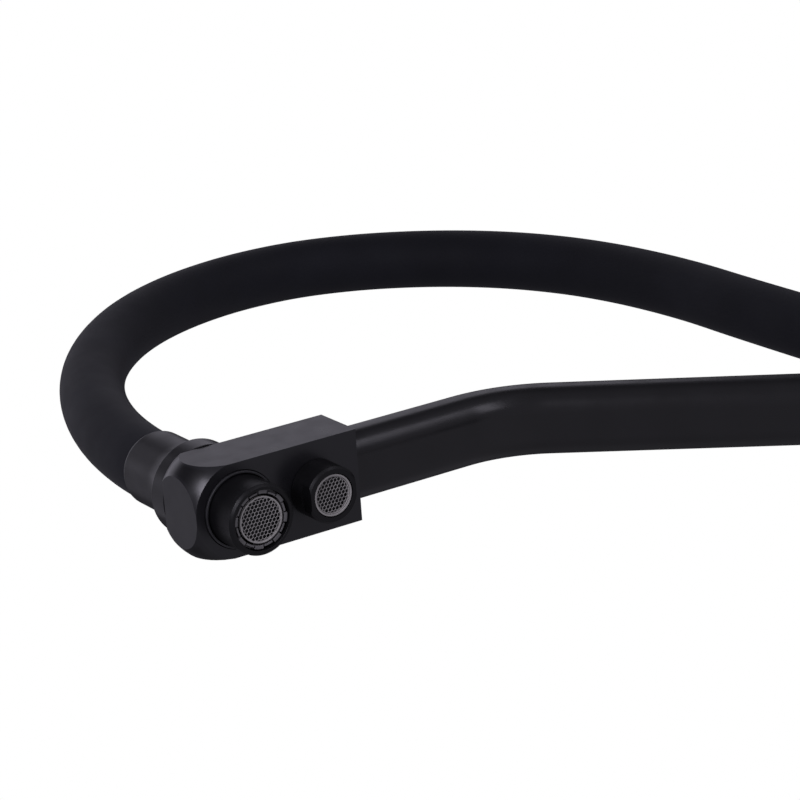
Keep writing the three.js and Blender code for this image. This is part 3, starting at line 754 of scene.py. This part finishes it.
def make_head():
    low = low_of("swivel_head")
    high = high_of("swivel_head")
    radius = radius_of("swivel_head")
    bore, bore_top = 14, 186
    head = mesh_object("swivel_head_fine", lathe([
        (bore, low), (radius, low), (radius, high), (8.3, high), (8.3, bore_top), (bore, bore_top),
    ], 128, 0.6))
    socket = rounded_rectangle(ARM_WIDTH + 0.6, ARM_DEPTH + 0.6, ARM_CORNER + 0.3)
    combine(head, swept(arm_stations(REACH - 40, REACH - 3)[-2:], [socket]))
    screw = middle_of("spout_retaining_screw")
    back = Matrix.Translation((0, 0, screw.z)) @ Matrix.Rotation(-math.pi / 2, 4, "X")
    combine(head, cylinder(2.6, 10, radius + 1), place=back)
    soften(head, 0.25, angle=40, segments=2)
    finish_piece(head, "spout", "matte_black", smooth=30)

    grub = mesh_object("spout_retaining_screw_fine", lathe([(0, 12.4), (2.2, 12.4), (2.2, 22), (0, 22)],
                                                           FEW_SIDES, 0.3), back)
    combine(grub, lathe([(0, 20), (1.25, 20), (1.25, 23), (0, 23)], 6, 0), place=back)
    finish_piece(grub, "spout", "steel")

    collar_low = low_of("column_collar")
    collar_high = high_of("column_collar")
    collar_radius = radius_of("column_collar")
    turned_piece("column_collar", [
        (8.1, collar_low), (collar_radius, collar_low), (collar_radius, collar_high - 0.8),
        (collar_radius - 0.8, collar_high), (8.1, collar_high),
    ], "spout", "matte_black", rounding=0.25)


def make_body():
    low = low_of("main_body")
    high = high_of("main_body")
    radius = 23
    barrel = lathe([(0, low), (radius, low), (radius, high), (0, high)], 128, 0.6)
    body = mesh_object("main_body_fine", barrel)
    combine(body, lathe([(0, 5), (21, 5), (21, 40), (0, 40)], 128, 0.4), "UNION", MIXER)
    combine(body, lathe([(0, 5), (13, 5), (13, 36), (0, 36)], SIDES, 0.4), "UNION", FILTER)
    soften(body, 0.5, angle=40, segments=3)
    combine(body, cylinder(18, 14, 41, SIDES), place=MIXER)
    combine(body, cylinder(9.5, 20, 37, SIDES), place=FILTER)
    combine(body, cylinder(16.3, 0, 14.3, SIDES))
    combine(body, cylinder(13.7, 107.7, high + 1, SIDES))
    combine(body, cylinder(4, 40, 109))
    finish_piece(body, "base", "matte_black", smooth=30)

    flange = radius_of("base_flange")
    turned_piece("base_flange", [
        (16.5, 0), (19.7, 0), (19.7, 1.7), (23.8, 1.7), (23.8, 0), (flange, 0), (flange, 4),
        (flange - 1, 5), (16.5, 5),
    ], "base", "matte_black", rounding=0.35)
    turned_piece("base_gasket", [(20, 0), (23.5, 0), (23.5, 1.4), (20, 1.4)], "base", "rubber")
    bush_low = low_of("swivel_bush")
    bush_high = high_of("swivel_bush")
    turned_piece("swivel_bush", [(14, bush_low), (22.4, bush_low), (22.4, bush_high), (14, bush_high)],
                 "base", "grey_plastic", rounding=0.15, material=DARK_PLASTIC)


# --- Fixing under the worktop ------------------------------------------------------------------------


def threaded(radius, bore, low, high, pitch=THREAD_PITCH, depth=THREAD_DEPTH, sides=64):
    """A tube with one real helical thread along its outside, fading out at both ends."""
    per_turn = 8
    rows = round((high - low) / pitch * per_turn)
    points, rings = [], []
    for row in range(rows + 1):
        z = low + (high - low) * row / rows
        fade = min(1, (z - low) / pitch, (high - z) / pitch)
        rings.append(range(len(points), len(points) + sides))
        for side in range(sides):
            phase = (z / pitch - side / sides) % 1
            groove = abs(2 * phase - 1)
            r = radius - depth * (1 - fade) - depth * fade * min(1, max(0, 1.5 * groove - 0.25))
            angle = 2 * math.pi * side / sides
            points.append(Vector((r * math.cos(angle), r * math.sin(angle), z)))
    for z in (high, low):
        rings.append(range(len(points), len(points) + sides))
        points.extend(Vector((x, y, z)) for x, y in circle(bore, sides))
    return points, ring_faces(rings, True)


def make_fixing():
    thread = threaded(16, 13, low_of("threaded_shank"), high_of("threaded_shank"))
    shank = mesh_object("threaded_shank_fine", thread)
    finish_piece(shank, "base", "brass", smooth=50)
    for node, slot in (("rubber_washer", "rubber"), ("steel_washer", "steel")):
        low = low_of(node)
        high = high_of(node)
        turned_piece(node, [(16.6, low), (26, low), (26, high), (16.6, high)], "base", slot, rounding=0.4)

    low = low_of("mounting_nut")
    high = high_of("mounting_nut")
    corner = NUT_ACROSS_FLATS / 2 / math.cos(math.pi / 6)
    corners_on_x = abs(radius_of("mounting_nut") - corner) < 0.5
    turn = COLUMN if corners_on_x else Matrix.Rotation(math.pi / 6, 4, "Z")
    nut = mesh_object("mounting_nut_fine", cylinder(corner, low, high, 6), turn)
    chamfered = lathe([
        (0, low - 1), (corner - 2.2, low - 1), (corner - 2.2, low), (corner + 1, low + 2),
        (corner + 1, high - 2), (corner - 2.2, high), (corner - 2.2, high + 1), (0, high + 1),
    ], SIDES, 0)
    combine(nut, chamfered, "INTERSECT")
    jacks = [Matrix.Translation((side * 19.8, 0, 0)) for side in (1, -1)]
    holes = [moved(cylinder(2.7, low - 1, high + 1), jack) for jack in jacks]
    combine(nut, joined(cylinder(16.3, low - 1, high + 1, SIDES), *holes))
    soften(nut, 0.3, angle=25, segments=2)
    finish_piece(nut, "base", "brass", smooth=30)

    for node, jack in zip(("jack_screw_right", "jack_screw_left"), jacks):
        screw_low = low_of(node)
        screw_high = high_of(node)
        grooves = []
        for turn_number in range(12):
            z = screw_low + 5 + turn_number * (screw_high - screw_low - 6) / 12
            grooves += [(2.3, z), (2.0, z + 0.4)]
        screw = mesh_object(node + "_fine", lathe([
            (0, screw_low), (3.4, screw_low), (3.4, screw_low + 4), (2.3, screw_low + 4), *grooves,
            (2.3, screw_high - 0.6), (1.7, screw_high), (0, screw_high)], FEW_SIDES, 0.25), jack)
        combine(screw, lathe([(0, screw_low - 1), (1.9, screw_low - 1), (1.9, screw_low + 2.4),
                              (0, screw_low + 2.4)], 6, 0), place=jack)
        finish_piece(screw, "base", "steel")

    for node in ("hot_inlet_tail", "cold_inlet_tail", "filtered_inlet_tail"):
        middle = middle_of(node)
        place = Matrix.Translation((middle.x, middle.y, 0))
        tail_low = low_of(node)
        thread = threaded(6, 3, tail_low, tail_low + 12, pitch=1.0, depth=0.45, sides=FEW_SIDES)
        tail = mesh_object(node + "_fine", thread, place)
        stem = lathe([
            (3, tail_low + 11), (4.8, tail_low + 11), (4.8, tail_low + 14.2), (5.7, tail_low + 14.6),
            (5.7, tail_low + 15.6), (4.8, tail_low + 16), (4.8, 10), (3, 10)], FEW_SIDES, 0.2)
        combine(tail, stem, "UNION", place)
        finish_piece(tail, "base", "brass", smooth=50)


# --- Valves ------------------------------------------------------------------------------------------


def make_mixer():
    turned_piece("mixer_shroud", [
        *arc(PIVOT, 22, 46, 72, 12), (21, 40.3), (18.4, 40.3), *arc(PIVOT, 19.5, 70, 46, 12),
    ], "base", "matte_black", MIXER, rounding=0.25)

    inner, outer, rim = 22.6, 25, 72
    lever = mesh_object("mixer_lever_fine", lathe([
        *arc(PIVOT, inner, 0, rim, 24), *arc(PIVOT, outer, rim, 0, 24)], 128, 0.5), MIXER)
    root = (-inner * math.sin(math.radians(50)), 0, PIVOT + inner * math.cos(math.radians(50)) - 1)
    lean = Matrix.Translation(root) @ Matrix.Rotation(math.radians(HANDLE_TILT - 90), 4, "Y")
    handle = lathe([
        (0, 0), (4.4, 0), (4.05, 40), (3.75, 76), (3.7, 80.5), (3.2, 82), (2.2, 82.5), (0, 82.5),
    ], 64, 0.8)
    hub_low = PIVOT + 12
    hub_high = PIVOT + outer - 0.6
    hub = lathe([(0, hub_low), (5.2, hub_low), (5.2, hub_high), (0, hub_high)], 64, 0)
    combine(lever, handle, "UNION", MIXER @ lean)
    inside = lathe(arc(PIVOT, inner, 0, 180, 32), 128, 0)
    combine(lever, inside, place=MIXER)
    combine(lever, hub, "UNION", MIXER)
    combine(lever, cylinder(2.2, PIVOT, PIVOT + outer + 1), place=MIXER)
    combine(lever, cylinder(3.5, PIVOT, 54), place=MIXER)
    combine(lever, cylinder(4.2, 55.5, PIVOT + outer + 1), place=MIXER)
    soften(lever, 0.4, angle=35, segments=3)
    finish_piece(lever, "mixer_lever", "matte_black", smooth=30)
    turned_piece("mixer_lever_plug", [(0, 57.7), (3.9, 57.7), (3.9, 59.1), (0, 59.1)], "mixer_lever",
                 "satin_black", MIXER, rounding=0.4)


def make_filter_valve():
    lever = mesh_object("filter_lever_fine", lathe([
        (0, 41), (5.5, 41), (5.5, 46), (10.6, 46), (10.6, 36.3), (13, 36.3), (13, 51), (12, 52), (0, 52),
    ], SIDES, 0.35), FILTER)
    stand = Matrix.Translation((11.4, 0, 45)) @ Matrix.Rotation(math.pi / 2, 4, "Y")
    handle = lathe([(0, 0), (3.4, 0), (3.15, 24), (2.9, 46.4), (2.4, 47.6), (1.6, 48), (0, 48)], 64, 0.6)
    combine(lever, handle, "UNION", FILTER @ stand)
    combine(lever, cylinder(3.3, 40, 48), place=FILTER)
    combine(lever, cylinder(1.7, 40, 53), place=FILTER)
    combine(lever, cylinder(3.6, 49.5, 53), place=FILTER)
    soften(lever, 0.35, angle=40, segments=3)
    finish_piece(lever, "filter_lever", "matte_black", smooth=30)
    turned_piece("filter_lever_plug", [(0, 51.3), (3.3, 51.3), (3.3, 52.1), (0, 52.1)], "filter_lever",
                 "satin_black", FILTER, rounding=0.3)


# --- Stage -------------------------------------------------------------------------------------------


def make_stage():
    pale = shader("pale_stage", ((0.8, 0.8, 0.8), (0.83, 0.83, 0.83)), 0.8, grain=(60, 0.2), mottle=3)
    corners = [Vector((x * FLOOR_REACH, y * FLOOR_REACH, FLOOR_HEIGHT))
               for x, y in ((-1, -1), (1, -1), (1, 1), (-1, 1))]
    floor = mesh_object("stage_floor", (corners, [(0, 1, 2, 3)]))
    worktop = mesh_object("stage_worktop", brick((-130, 130), (-110, 110), (-WORKTOP, 0)))
    combine(worktop, cylinder(17.5, -WORKTOP - 1, 1, SIDES))
    soften(worktop, 2, angle=40)
    legs = [brick((x - 9, x + 9), (y - 9, y + 9), (FLOOR_HEIGHT, -WORKTOP - 0.5))
            for x in (-112, 112) for y in (-92, 92)]
    stand = mesh_object("stage_legs", joined(*legs))
    for obj in (floor, worktop, stand):
        obj.data.materials.append(pale)
        obj.visible_diffuse = False
        obj.visible_glossy = False
    only_stage = bpy.data.collections.new("only_stage")
    for obj in (floor, worktop, stand):
        only_stage.objects.link(obj)
    sky = bpy.data.lights.new("stage_light", "SUN")
    sky.energy = 2.3
    sky.angle = 0.6
    light = bpy.data.objects.new("stage_light", sky)
    light.rotation_euler = (0.25, 0.15, 0)
    light.light_linking.receiver_collection = only_stage
    bpy.context.scene.collection.objects.link(light)


def area_light(name, direction, distance, size, power):
    """A soft box that stands in this direction from the dock and faces it."""
    data = bpy.data.lights.new(name, "AREA")
    data.shape = "RECTANGLE"
    data.size, data.size_y = size
    data.energy = power
    data.color = STUDIO_TINT
    light = bpy.data.objects.new(name, data)
    dock = Vector((0, DOCK_AXIS, OUTLET_FACE)) * MM
    light.location = dock + direction.normalized() * distance
    light.rotation_euler = direction.to_track_quat("Z", "Y").to_euler()
    light.visible_camera = False
    bpy.context.scene.collection.objects.link(light)


def make_room():
    """Pale to the camera, and white high up. To the object it is lighter below and at the sides."""
    world = bpy.data.worlds.new("studio")
    bpy.context.scene.world = world
    world.use_nodes = True
    tree = world.node_tree
    nodes = tree.nodes
    links = tree.links
    nodes.clear()
    split = nodes.new("ShaderNodeSeparateXYZ")
    links.new(nodes.new("ShaderNodeTexCoord").outputs["Generated"], split.inputs[0])
    upward = split.outputs["Z"]
    low_half = map_range(tree, upward, -0.9, -0.4, ROOM_BELOW, ROOM_SIDE)
    whole = map_range(tree, upward, -0.05, 0.5, ROOM_SIDE, ROOM_ABOVE)
    links.new(low_half.outputs["Result"], whole.inputs["To Min"])
    dim = nodes.new("ShaderNodeBackground")
    dim.inputs["Color"].default_value = (*STUDIO_TINT, 1)
    links.new(whole.outputs["Result"], dim.inputs["Strength"])
    backdrop = map_range(tree, upward, 0.1, 0.6, BACKDROP, 1)
    seen = nodes.new("ShaderNodeBackground")
    seen.inputs["Color"].default_value = (1, 1, 1, 1)
    links.new(backdrop.outputs["Result"], seen.inputs["Strength"])
    mix = nodes.new("ShaderNodeMixShader")
    links.new(nodes.new("ShaderNodeLightPath").outputs["Is Camera Ray"], mix.inputs[0])
    links.new(dim.outputs[0], mix.inputs[1])
    links.new(seen.outputs[0], mix.inputs[2])
    links.new(mix.outputs[0], nodes.new("ShaderNodeOutputWorld").inputs["Surface"])


def make_lights():
    area_light("top_light", Vector((0.35, 0.46, 0.82)), 1.1, (0.6, 0.6), 0.58)
    area_light("over_light", Vector((0.1, -0.12, 1)), 1.3, (0.8, 0.8), 1.5)
    area_light("end_light", Vector((-0.2, -0.54, 0.82)), 1.3, (1.3, 0.7), 0.85)
    area_light("barrel_light", Vector((0.62, -0.7, -0.3)), 0.45, (0.2, 0.12), 0.8)
    area_light("arm_light", Vector((0.72, 0.43, -0.62)), 1.3, (0.35, 0.8), 2.2)


# --- Carried-over CAD nodes --------------------------------------------------------------------------


def finish_cad_nodes():
    for entry in frame["record"]["subparts"]:
        # The inserts behind the screens get black plastic in place of their grey slot finish: painted shade
        # for the self-shadowed holes.
        material = BLACK_PLASTIC if entry["node"] in PAINTED_SHADE_INSERTS else BY_SLOT[entry["material_slot"]]
        for slot in frame["nodes"][entry["node"]].material_slots:
            slot.material = material


make_camera()
make_hose()
make_dock_block()
make_dock_rings()
make_small_outlet()
make_nozzle()
make_ferrules()
make_arm()
make_head()
make_body()
make_fixing()
make_mixer()
make_filter_valve()
make_stage()
make_room()
make_lights()
finish_cad_nodes()
bpy.context.scene.view_settings.view_transform = "Standard"
